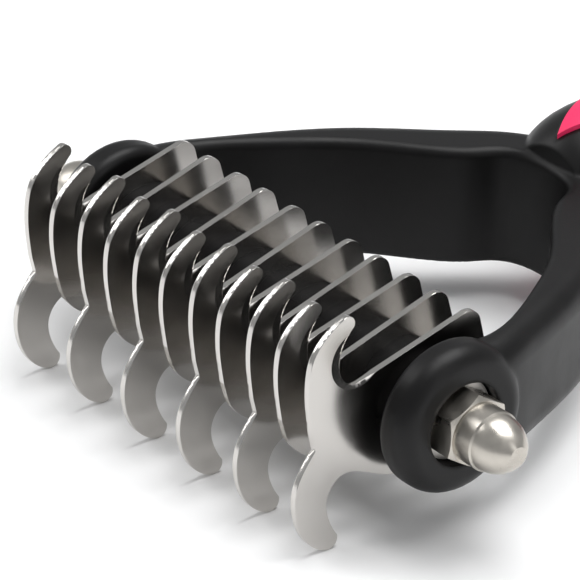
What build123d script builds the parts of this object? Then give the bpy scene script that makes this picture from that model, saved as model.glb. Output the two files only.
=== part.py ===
from build123d import *
import math
import os

# Dematting comb: a blade pack on a shaft, held across a two-armed fork with a handle.
# +X runs along the shaft, +Y from the blades towards the handle, +Z up.
# The comb lies on a table, on its hooked teeth and the back of its handle; z = 0 is the table.
# Millimetres.

# Where the shaft axis is, and how the comb lies
SHAFT_Y = -72.74
SHAFT_Z = 14.395
FORK_TILT = 2.5           # the handle falls away from the shaft by this angle
BLADE_TILT = 13.0         # the blade tails rise from the table plane by this angle
PLAIN_BLADE_TURN = 2.0    # the plain blades sit turned a little further

# Shaft, spacers and washers
SHAFT_DIAMETER = 5.0
BORE_DIAMETER = 5.1
BLADE_COUNT = 11
BLADE_PITCH = 5.32
BLADE_THICKNESS = 0.8
SPACER_DIAMETER = 11.8
END_SPACER_LENGTH = 2.0
WASHER_DIAMETER = 10.0
WASHER_THICKNESS = 1.0
SIDE_PLAY = 0.05

# Blade outline, from the shaft axis: tail along +u, teeth along +v and -v
TAIL_REACH = 9.4
TAIL_HALF_HEIGHT = 8.1
THROAT = (-8.2, TAIL_HALF_HEIGHT)
BACK = (-16.0, 5.4)
NECK = (-16.0, 3.0)
BELLY_START = (-5.4, -6.8)
BELLY = (-2.8, -TAIL_HALF_HEIGHT)
GRIND_CENTRE = (-8.0, 11.25)    # both faces of the tooth's inner edge are ground round this point
GRIND_RADIUS = 3.7
GRIND_WIDTH = 1.3
GRIND_DEPTH = 0.32

# Cap nut (8 mm across flats)
NUT_FLATS = 8.0
NUT_HEX_HEIGHT = 4.0
NUT_HEIGHT = 10.9
NUT_DOME_DIAMETER = 7.4
NUT_DOME_START = 6.6
NUT_SEAM = 0.2
NUT_TIP_RADIUS = 1.2
NUT_TURN = 26.0
NUT_BORE_DEPTH = 7.5
SHAFT_END_IN_NUT = 6.4

# Fork eyes and arms
EYE_RADIUS = 9.2
EYE_THICKNESS = 4.8
COUNTERBORE_DIAMETER = 10.4
COUNTERBORE_DEPTH = 2.8
EYE_OUTER_ROUND = 2.3
EYE_INNER_ROUND = 1.2
ARM_HALF_HEIGHT = 7.8
ARM_INNER_ROUND = 1.0
ARM_OUTER_ROUND = 3.2
CROTCH_Y = 41.0
NECK_END_Y = 50.0
NECK_END_HALF_WIDTH = 5.0

# Handle and grips
HANDLE_END = 165.5
GRIP_STAND_OFF = 0.6
GRIP_DEPTH = 2.0
GRIP_START = 42.5
GRIP_END = 140.0
HANG_HOLE_Y = 154.0
HANG_HOLE_DIAMETER = 6.0
HANG_HOLE_LENGTH = 11.0
HANG_DISH_DIAMETER = 10.0

stack_half = (BLADE_COUNT - 1) / 2 * BLADE_PITCH + BLADE_THICKNESS / 2
eye_inner_x = stack_half + END_SPACER_LENGTH + SIDE_PLAY
eye_outer_x = eye_inner_x + EYE_THICKNESS
seat_x = eye_outer_x - COUNTERBORE_DEPTH
nut_x = seat_x + WASHER_THICKNESS

tilt = math.radians(FORK_TILT)
fork_plane = Plane(
    origin=(0, SHAFT_Y, SHAFT_Z), x_dir=(1, 0, 0), z_dir=(0, math.sin(tilt), math.cos(tilt))
)
fork_up = Axis(fork_plane.origin, fork_plane.z_dir)


def across(x, turn=0.0):
    """Plane across the shaft at x: its own x towards the tail, its own y up."""
    angle = math.radians(turn)
    tail_dir = (0, math.cos(angle), math.sin(angle))
    return Plane(origin=(x, SHAFT_Y, SHAFT_Z), x_dir=tail_dir, z_dir=(1, 0, 0))


def save(part, name):
    part.label = name
    export_step(part, "parts/" + name + ".step")
    box = part.bounding_box()
    print(name, "y", round(box.min.Y, 3), round(box.max.Y, 3), "z", round(box.min.Z, 3), round(box.max.Z, 3))


def ring(x, diameter, length):
    """Plain ring on the shaft axis, from x towards +X."""
    with BuildPart() as part:
        with BuildSketch(across(x)):
            Circle(diameter / 2)
            Circle(BORE_DIAMETER / 2, mode=Mode.SUBTRACT)
        extrude(amount=length)
    return part.part


def make_shaft():
    """Round rod from inside one cap nut to inside the other, with chamfered ends."""
    end_x = nut_x + SHAFT_END_IN_NUT
    with BuildPart() as shaft:
        with BuildSketch(across(-end_x)):
            Circle(SHAFT_DIAMETER / 2)
        extrude(amount=2 * end_x)
        chamfer(shaft.faces().filter_by(Axis.X).edges(), 0.5)
    return shaft.part


def tail_and_tooth():
    """Blade edge from the belly round the tail and over the upper tooth, down its back."""
    Line(BELLY, (TAIL_REACH, -TAIL_HALF_HEIGHT))
    Line((TAIL_REACH, -TAIL_HALF_HEIGHT), (TAIL_REACH, TAIL_HALF_HEIGHT))
    Line((TAIL_REACH, TAIL_HALF_HEIGHT), THROAT)
    Spline(THROAT, (-9.6, 8.5), (-10.4, 10.2), (-10.0, 12.4), (-8.9, 14.4), (-7.5, 15.55))
    ThreePointArc((-7.5, 15.55), (-7.4, 16.8), (-8.7, 17.15))
    Spline((-8.7, 17.15), (-11.3, 16.25), (-13.5, 14.6), (-14.8, 12.1), (-15.6, 8.8), BACK)
    Line(BACK, NECK)


def hook_edge():
    """Blade edge from the neck round the hooked lower tooth to the belly."""
    Spline(NECK, (-17.4, 1.9), (-19.4, -0.2), (-20.5, -4.1), (-19.7, -8.2), (-17.7, -10.55))
    ThreePointArc((-17.7, -10.55), (-16.3, -10.65), (-15.65, -9.5))
    Spline((-15.65, -9.5), (-16.3, -6.9), (-15.8, -3.9), (-13.7, -2.3), (-9.6, -4.3), BELLY_START)
    Line(BELLY_START, BELLY)


def plain_edge():
    """Blade edge from the neck, rounded below, to the belly."""
    Spline(NECK, (-15.4, 0.8), (-13.4, -1.8), (-9.3, -4.4), BELLY_START)
    Line(BELLY_START, BELLY)


def make_blade(x, hooked):
    """Stamped steel blade centred on x, hooked below or rounded below."""
    turn = BLADE_TILT if hooked else BLADE_TILT + PLAIN_BLADE_TURN
    with BuildPart() as blade:
        with BuildSketch(across(x - BLADE_THICKNESS / 2, turn)) as outline:
            with BuildLine():
                tail_and_tooth()
                if hooked:
                    hook_edge()
                else:
                    plain_edge()
            make_face()
            corners = [
                ((TAIL_REACH, TAIL_HALF_HEIGHT), 2.0),
                ((TAIL_REACH, -TAIL_HALF_HEIGHT), 4.0),
                (BELLY, 4.0),
            ]
            for corner, radius in corners:
                fillet(outline.vertices().sort_by_distance((*corner, 0))[0], radius)
            Circle(BORE_DIAMETER / 2, mode=Mode.SUBTRACT)
        extrude(amount=BLADE_THICKNESS)
        for side in (-1, 1):
            depth = side * (BLADE_THICKNESS / 2 - GRIND_DEPTH)
            start = across(x, turn).from_local_coords(Vector(*GRIND_CENTRE, depth))
            with Locations(Plane(origin=start, z_dir=(side, 0, 0))):
                Cone(GRIND_RADIUS - GRIND_WIDTH, GRIND_RADIUS + GRIND_WIDTH, 2 * GRIND_DEPTH,
                     align=(Align.CENTER, Align.CENTER, Align.MIN), mode=Mode.SUBTRACT)
    return blade.part


def make_cap_nut(side):
    """Domed nut, hex against the washer, dome outwards; side is +1 or -1."""
    base = (side * nut_x, SHAFT_Y, SHAFT_Z)
    flat = NUT_FLATS / 2
    corner = NUT_FLATS / math.sqrt(3)
    dome = NUT_DOME_DIAMETER / 2
    with BuildPart() as nut:
        with BuildSketch(Plane(origin=base, x_dir=(0, 1, 0), z_dir=(side, 0, 0))):
            RegularPolygon(radius=corner, side_count=6, rotation=NUT_TURN)
        extrude(amount=NUT_HEX_HEIGHT)
        with BuildSketch(Plane(origin=base, x_dir=(0, 1, 0), z_dir=(0, 0, -side))):
            Polygon((0, 0), (flat - 0.1, 0), (corner, 0.4), (corner, NUT_HEX_HEIGHT - 0.4),
                    (flat - 0.1, NUT_HEX_HEIGHT), (0, NUT_HEX_HEIGHT), align=None)
        revolve(axis=Axis(base, (side, 0, 0)), mode=Mode.INTERSECT)
        with BuildSketch(Plane(origin=base, x_dir=(0, 1, 0), z_dir=(0, 0, -side))):
            with BuildLine():
                Polyline((0, NUT_HEX_HEIGHT - 0.5), (dome, NUT_HEX_HEIGHT - 0.5), (dome, NUT_DOME_START),
                         (dome - NUT_SEAM, NUT_DOME_START + NUT_SEAM))
                ThreePointArc((dome - NUT_SEAM, NUT_DOME_START + NUT_SEAM),
                              (0.74 * dome, NUT_HEIGHT - 1.55), (NUT_TIP_RADIUS, NUT_HEIGHT))
                Polyline((NUT_TIP_RADIUS, NUT_HEIGHT), (0, NUT_HEIGHT), (0, NUT_HEX_HEIGHT - 0.5))
            make_face()
        revolve(axis=Axis(base, (side, 0, 0)))
        with BuildSketch(Plane(origin=base, x_dir=(0, 1, 0), z_dir=(side, 0, 0))):
            Circle(BORE_DIAMETER / 2)
        extrude(amount=NUT_BORE_DEPTH, mode=Mode.SUBTRACT)
    return nut.part


def make_handle(stand_off):
    """Handle body through oval sections, larger all round by stand_off."""
    # distance from the shaft, half width, height above and depth below the fork plane
    sections = [
        (41.6, 7.4, 9.8, 7.6),
        (45.0, 9.2, 12.2, 8.1),
        (55.0, 10.6, 13.2, 8.27),
        (80.0, 12.0, 12.6, 8.16),
        (105.0, 12.6, 11.0, 7.96),
        (130.0, 11.4, 9.2, 7.66),
        (150.0, 10.0, 7.8, 7.7),
        (160.0, 8.0, 6.4, 6.4),
        (HANDLE_END - 0.8, 4.6, 3.8, 3.8),
    ]
    with BuildPart() as handle:
        for y, half_width, above, below in sections:
            middle = fork_plane.from_local_coords(Vector(0, y, (above - below) / 2))
            with BuildSketch(Plane(origin=middle, x_dir=(1, 0, 0), z_dir=fork_plane.y_dir)):
                Ellipse(half_width + stand_off, (above + below) / 2 + stand_off)
        loft()
    return handle.part


def make_grip(up):
    """Soft inlay in the handle's top (up = 1) or underside (up = -1), pointed towards the fork."""
    outer = make_handle(GRIP_STAND_OFF)
    inner = make_handle(-GRIP_DEPTH)
    with BuildPart() as grip:
        with BuildSketch(fork_plane):
            with BuildLine():
                Spline((0, GRIP_START), (5.4, 56), (8.8, 80), (9.0, 105), (7.6, 129),
                       tangents=[(1, 1.6), (-0.1, 1)])
                Spline((7.6, 129), (0, GRIP_END), tangents=[(-0.1, 1), (-1, 0)])
                Line((0, GRIP_END), (0, GRIP_START))
            make_face()
            mirror(about=Plane.YZ)
        extrude(amount=up * 20)
        add(outer, mode=Mode.INTERSECT)
        add(inner, mode=Mode.SUBTRACT)
    return grip.part


def make_arms():
    """Both bowed arms and the crotch, from the eyes to inside the neck of the handle."""
    with BuildPart() as arms:
        with BuildSketch(fork_plane.offset(-ARM_HALF_HEIGHT)):
            with BuildLine():
                Line((eye_inner_x, 0), (eye_inner_x, 6.0))
                Spline((eye_inner_x, 6.0), (27.5, 11.2), (23.6, 18.0), (17.0, 26.8), (7.8, 36.0),
                       (0, CROTCH_Y), tangents=[(-0.1, 1), (-1, 0)])
                Line((0, CROTCH_Y), (0, NECK_END_Y))
                Line((0, NECK_END_Y), (NECK_END_HALF_WIDTH, NECK_END_Y))
                Spline((NECK_END_HALF_WIDTH, NECK_END_Y), (11.0, 44.8), (15.6, 39.2), (23.6, 28.8),
                       (31.4, 12.4), (eye_outer_x, 0), tangents=[(0.6, -0.8), (0, -1)])
                Line((eye_outer_x, 0), (eye_inner_x, 0))
            make_face()
            mirror(about=Plane.YZ)
        extrude(amount=2 * ARM_HALF_HEIGHT)
        rims = arms.faces().filter_by(fork_up).edges().filter_by(GeomType.BSPLINE)
        fillet(rims.filter_by(lambda edge: abs((edge @ 0.5).X) > 1), ARM_OUTER_ROUND)
        rims = arms.faces().filter_by(fork_up).edges().filter_by(GeomType.BSPLINE)
        fillet(rims.filter_by(lambda edge: abs((edge @ 0.5).X) < 1), ARM_INNER_ROUND)
    return arms.part


def make_eye(side):
    """Round boss that carries one end of the shaft."""
    with BuildPart() as eye:
        with BuildSketch(Plane(origin=(side * eye_inner_x, SHAFT_Y, SHAFT_Z), z_dir=(side, 0, 0))):
            Circle(EYE_RADIUS)
        extrude(amount=EYE_THICKNESS)
        rims = eye.edges().filter_by(GeomType.CIRCLE).sort_by(lambda edge: abs(edge.center().X))
        fillet(rims[-1], EYE_OUTER_ROUND)
        fillet(eye.edges().filter_by(GeomType.CIRCLE).sort_by(lambda edge: abs(edge.center().X))[0],
               EYE_INNER_ROUND)
    return eye.part


def make_fork():
    """One moulding: eyes, arms and handle, with pockets for the two grips and a hanging hole."""
    solids = [make_arms(), make_handle(0), make_eye(-1), make_eye(1)]
    grips = [make_grip(1), make_grip(-1)]
    with BuildPart() as fork:
        for solid in solids:
            add(solid)
        for grip in grips:
            add(grip, mode=Mode.SUBTRACT)
        for side in (-1, 1):
            with BuildSketch(Plane(origin=(side * seat_x, SHAFT_Y, SHAFT_Z), z_dir=(side, 0, 0))):
                Circle(COUNTERBORE_DIAMETER / 2)
            extrude(amount=2 * COUNTERBORE_DEPTH, mode=Mode.SUBTRACT)
            with BuildSketch(Plane(origin=(side * seat_x, SHAFT_Y, SHAFT_Z), z_dir=(-side, 0, 0))):
                Circle(BORE_DIAMETER / 2)
            extrude(amount=EYE_THICKNESS, mode=Mode.SUBTRACT)
            dish_plane = fork_plane.offset(side * HANG_HOLE_LENGTH / 2)
            with BuildSketch(dish_plane):
                with Locations((0, HANG_HOLE_Y)):
                    Circle(HANG_DISH_DIAMETER / 2)
            extrude(amount=side * HANG_HOLE_LENGTH, mode=Mode.SUBTRACT)
        with BuildSketch(fork_plane):
            with Locations((0, HANG_HOLE_Y)):
                Circle(HANG_HOLE_DIAMETER / 2)
        extrude(amount=HANG_HOLE_LENGTH, both=True, mode=Mode.SUBTRACT)
    return fork.part


os.makedirs("parts", exist_ok=True)
save(make_shaft(), "shaft")
for number in range(BLADE_COUNT):
    hooked = number % 2 == 0
    name = "hooked_blade_" if hooked else "plain_blade_"
    x = -stack_half + BLADE_THICKNESS / 2 + number * BLADE_PITCH
    save(make_blade(x, hooked), name + str(number // 2 + 1))
for number in range(BLADE_COUNT - 1):
    start = -stack_half + BLADE_THICKNESS + number * BLADE_PITCH
    save(ring(start, SPACER_DIAMETER, BLADE_PITCH - BLADE_THICKNESS), "spacer_" + str(number + 1))
for side, name in ((-1, "left"), (1, "right")):
    inner = stack_half if side > 0 else -stack_half - END_SPACER_LENGTH
    save(ring(inner, SPACER_DIAMETER, END_SPACER_LENGTH), "end_spacer_" + name)
    seat = seat_x if side > 0 else -seat_x - WASHER_THICKNESS
    save(ring(seat, WASHER_DIAMETER, WASHER_THICKNESS), "nut_washer_" + name)
    save(make_cap_nut(side), "cap_nut_" + name)
save(make_fork(), "fork_frame")
save(make_grip(1), "top_grip")
save(make_grip(-1), "bottom_grip")
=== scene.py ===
import math

import bpy
from mathutils import Matrix, Vector


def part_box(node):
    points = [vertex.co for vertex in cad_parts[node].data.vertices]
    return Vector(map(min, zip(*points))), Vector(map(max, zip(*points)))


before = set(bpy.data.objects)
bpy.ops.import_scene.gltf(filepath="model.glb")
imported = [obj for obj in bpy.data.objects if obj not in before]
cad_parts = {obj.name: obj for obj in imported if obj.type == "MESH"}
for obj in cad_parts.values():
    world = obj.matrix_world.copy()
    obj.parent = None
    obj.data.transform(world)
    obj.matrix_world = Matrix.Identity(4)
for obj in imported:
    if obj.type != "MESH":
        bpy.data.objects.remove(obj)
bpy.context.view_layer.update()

MM = 0.001

# Camera: its direction, and its place from the middle of the shaft at the near blade's outer face
AZIMUTH = math.radians(51.47)
ELEVATION = math.radians(29.0)
CAMERA_RIGHT = -15.6 * MM
CAMERA_UP = 12.64 * MM
CAMERA_BACK = 590.06 * MM
LENS = 321.6
SENSOR = 36

# Rounding of the blades' rims, and of the creases in the plastic's shading
BLADE_RIM = 0.13 * MM
WELD_DISTANCE = 0.0005 * MM
BEVEL_ANGLE = math.radians(40)
FRAME_CREASE = 0.9 * MM
SPACER_CREASE = 0.2 * MM

# Grain heights of the materials
FRAME_GRAIN = 0.010 * MM
SPACER_GRAIN = 0.004 * MM
RUBBER_GRAIN = 0.012 * MM
BLADE_GRAIN = 0.0012 * MM
NICKEL_GRAIN = 0.003 * MM
WASHER_GRAIN = 0.004 * MM

# The part of the noise's range that the roughness ramps use
NOISE_LOW = 0.3
NOISE_HIGH = 0.7

FLOOR_HALF_SIZE = 3.0
WORLD_STRENGTH = 0.40

# Places from the frame
near_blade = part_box("hooked_blade_6")
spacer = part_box("spacer_1")
shaft_y = (spacer[0].y + spacer[1].y) / 2
shaft_z = (spacer[0].z + spacer[1].z) / 2
blade_face = Vector((near_blade[1].x, shaft_y, shaft_z))


# ---------------------------------------------------------------- camera

def add_camera():
    back = Vector((
        math.sin(AZIMUTH) * math.cos(ELEVATION),
        -math.cos(AZIMUTH) * math.cos(ELEVATION),
        math.sin(ELEVATION),
    ))
    right = Vector((math.cos(AZIMUTH), math.sin(AZIMUTH), 0))
    up = back.cross(right)
    data = bpy.data.cameras.new("camera")
    data.sensor_width = SENSOR
    data.lens = LENS
    data.clip_start = 0.05
    data.clip_end = 20
    camera = bpy.data.objects.new("camera", data)
    bpy.context.scene.collection.objects.link(camera)
    place = blade_face + CAMERA_RIGHT * right + CAMERA_UP * up + CAMERA_BACK * back
    camera.matrix_world = Matrix((
        (right.x, up.x, back.x, place.x),
        (right.y, up.y, back.y, place.y),
        (right.z, up.z, back.z, place.z),
        (0, 0, 0, 1),
    ))
    bpy.context.scene.camera = camera


# ---------------------------------------------------------------- materials

class Nodes:
    """A material's node tree, with the surface shader at hand."""

    def __init__(self, name):
        self.material = bpy.data.materials.new(name)
        self.material.use_nodes = True
        self.tree = self.material.node_tree
        self.shader = self.tree.nodes["Principled BSDF"]

    def add(self, kind, **inputs):
        node = self.tree.nodes.new(kind)
        for name, value in inputs.items():
            self.put(node, name.replace("_", " "), value)
        return node

    def put(self, node, name, value):
        socket = node.inputs[name]
        if isinstance(value, bpy.types.NodeSocket):
            self.tree.links.new(value, socket)
        else:
            socket.default_value = value

    def noise(self, scale, detail, stretch=(1, 1, 1)):
        """Noise over the object's own coordinates; scale is in grains per metre."""
        place = self.add("ShaderNodeTexCoord").outputs["Object"]
        mapping = self.add("ShaderNodeMapping", Vector=place, Scale=stretch)
        node = self.add("ShaderNodeTexNoise", Vector=mapping.outputs[0], Scale=scale, Detail=detail)
        return node.outputs[0]

    def ramp(self, value, low, high):
        node = self.add("ShaderNodeMapRange", Value=value)
        self.put(node, "From Min", NOISE_LOW)
        self.put(node, "From Max", NOISE_HIGH)
        self.put(node, "To Min", low)
        self.put(node, "To Max", high)
        return node.outputs[0]

    def blend(self, factor, first, second):
        node = self.add("ShaderNodeMix")
        node.data_type = "RGBA"
        self.tree.links.new(factor, node.inputs[0])
        node.inputs[6].default_value = (*first, 1)
        node.inputs[7].default_value = (*second, 1)
        return node.outputs[2]

    def bump(self, height, depth, under=None):
        """Bump whose full height is depth, in metres."""
        node = self.add("ShaderNodeBump", Height=height, Distance=depth, Strength=1.0)
        if under is not None:
            self.put(node, "Normal", under)
        return node.outputs[0]

    def soft_creases(self, radius):
        """Shading normal that rounds the edges where moulded faces meet."""
        node = self.add("ShaderNodeBevel", Radius=radius)
        node.samples = 6
        return node.outputs[0]

    def surface(self, **inputs):
        for name, value in inputs.items():
            self.put(self.shader, name.replace("_", " "), value)
        return self.material


def black_plastic(name, roughness, grain, crease):
    m = Nodes(name)
    fine = m.noise(4200, 2)
    broad = m.noise(160, 4)
    color = m.blend(broad, (0.0040, 0.0038, 0.0040), (0.0070, 0.0067, 0.0069))
    rough = m.ramp(broad, roughness - 0.05, roughness + 0.06)
    m.put(m.shader, "Specular IOR Level", 0.24)
    normal = m.bump(fine, grain, m.soft_creases(crease))
    return m.surface(Base_Color=color, Roughness=rough, Normal=normal, IOR=1.5)


def pink_rubber():
    m = Nodes("pink_rubber")
    fine = m.noise(3600, 3)
    broad = m.noise(90, 3)
    color = m.blend(broad, (0.80, 0.006, 0.095), (0.87, 0.011, 0.12))
    rough = m.ramp(broad, 0.5, 0.6)
    m.put(m.shader, "Sheen Weight", 0.15)
    return m.surface(Base_Color=color, Roughness=rough, Normal=m.bump(fine, RUBBER_GRAIN))


def polished_steel():
    """Tumbled and polished sheet steel, with a faint grain along the blade."""
    m = Nodes("polished_steel")
    grain = m.noise(9000, 2, (1, 0.06, 1))
    cloud = m.noise(220, 4)
    color = m.blend(cloud, (0.55, 0.53, 0.505), (0.63, 0.61, 0.585))
    rough = m.ramp(cloud, 0.15, 0.24)
    return m.surface(Base_Color=color, Roughness=rough, Metallic=1.0, Normal=m.bump(grain, BLADE_GRAIN))


def nickel_plate():
    m = Nodes("nickel_plate")
    grain = m.noise(5200, 3)
    cloud = m.noise(400, 4)
    # The colour varies in random patches. The dark ones, down to 0.42, are painted reflection standing
    # in for the dark reflections on the nut's faces.
    color = m.blend(cloud, (0.42, 0.395, 0.355), (0.62, 0.585, 0.53))
    rough = m.ramp(cloud, 0.24, 0.38)
    return m.surface(Base_Color=color, Roughness=rough, Metallic=1.0, Normal=m.bump(grain, NICKEL_GRAIN))


def washer_steel():
    m = Nodes("washer_steel")
    grain = m.noise(4000, 3)
    cloud = m.noise(500, 3)
    color = m.blend(cloud, (0.40, 0.385, 0.36), (0.52, 0.50, 0.47))
    rough = m.ramp(cloud, 0.28, 0.42)
    return m.surface(Base_Color=color, Roughness=rough, Metallic=1.0, Normal=m.bump(grain, WASHER_GRAIN))


def set_material(material, name):
    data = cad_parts[name].data
    data.materials.clear()
    data.materials.append(material)


def round_edges(name):
    """Rounded rims on a piece whose CAD edges are square."""
    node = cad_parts[name]
    weld = node.modifiers.new("weld", "WELD")
    weld.merge_threshold = WELD_DISTANCE
    bevel = node.modifiers.new("rims", "BEVEL")
    bevel.width = BLADE_RIM
    bevel.segments = 2
    bevel.limit_method = "ANGLE"
    bevel.angle_limit = BEVEL_ANGLE
    bevel.harden_normals = True


# ---------------------------------------------------------------- floor and light

def add_floor():
    m = Nodes("floor_white")
    tone = m.noise(3, 2)
    color = m.blend(tone, (0.93, 0.93, 0.935), (0.95, 0.95, 0.95))
    material = m.surface(Base_Color=color, Roughness=0.9)
    size = FLOOR_HALF_SIZE
    corners = [(-size, -size, 0), (size, -size, 0), (size, size, 0), (-size, size, 0)]
    data = bpy.data.meshes.new("floor")
    data.from_pydata(corners, [], [(0, 1, 2, 3)])
    data.materials.append(material)
    floor = bpy.data.objects.new("floor", data)
    bpy.context.scene.collection.objects.link(floor)


def add_softbox(name, place, target, width, height, watts):
    data = bpy.data.lights.new(name, "AREA")
    data.shape = "RECTANGLE"
    data.size = width
    data.size_y = height
    data.energy = watts
    light = bpy.data.objects.new(name, data)
    bpy.context.scene.collection.objects.link(light)
    light.location = place
    light.rotation_euler = (Vector(target) - Vector(place)).to_track_quat("-Z", "Y").to_euler()


def add_world():
    world = bpy.data.worlds.new("studio")
    world.use_nodes = True
    background = world.node_tree.nodes["Background"]
    background.inputs["Color"].default_value = (0.97, 0.985, 1.0, 1)
    background.inputs["Strength"].default_value = WORLD_STRENGTH
    bpy.context.scene.world = world


def add_lights():
    middle = (0, shaft_y, shaft_z)
    add_softbox("top_box", (0.05, 0.2, 0.95), middle, 0.8, 0.8, 10)
    add_softbox("left_box", (-0.8, -0.5, 0.6), middle, 0.4, 0.8, 3.2)
    add_softbox("right_box", (0.85, 0.1, 0.35), middle, 0.25, 0.7, 0.8)


add_camera()
steel = polished_steel()
plastic = black_plastic("frame_plastic", 0.38, FRAME_GRAIN, FRAME_CREASE)
spacer_plastic = black_plastic("spacer_plastic", 0.26, SPACER_GRAIN, SPACER_CREASE)
rubber = pink_rubber()
nickel = nickel_plate()
dull_steel = washer_steel()
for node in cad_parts:
    if "blade" in node:
        set_material(steel, node)
        round_edges(node)
    elif "spacer" in node:
        set_material(spacer_plastic, node)
    elif "grip" in node:
        set_material(rubber, node)
    elif "cap_nut" in node:
        set_material(nickel, node)
    elif "washer" in node or node == "shaft":
        set_material(dull_steel, node)
    else:
        set_material(plastic, node)
add_floor()
add_world()
add_lights()
bpy.context.scene.view_settings.view_transform = "Standard"
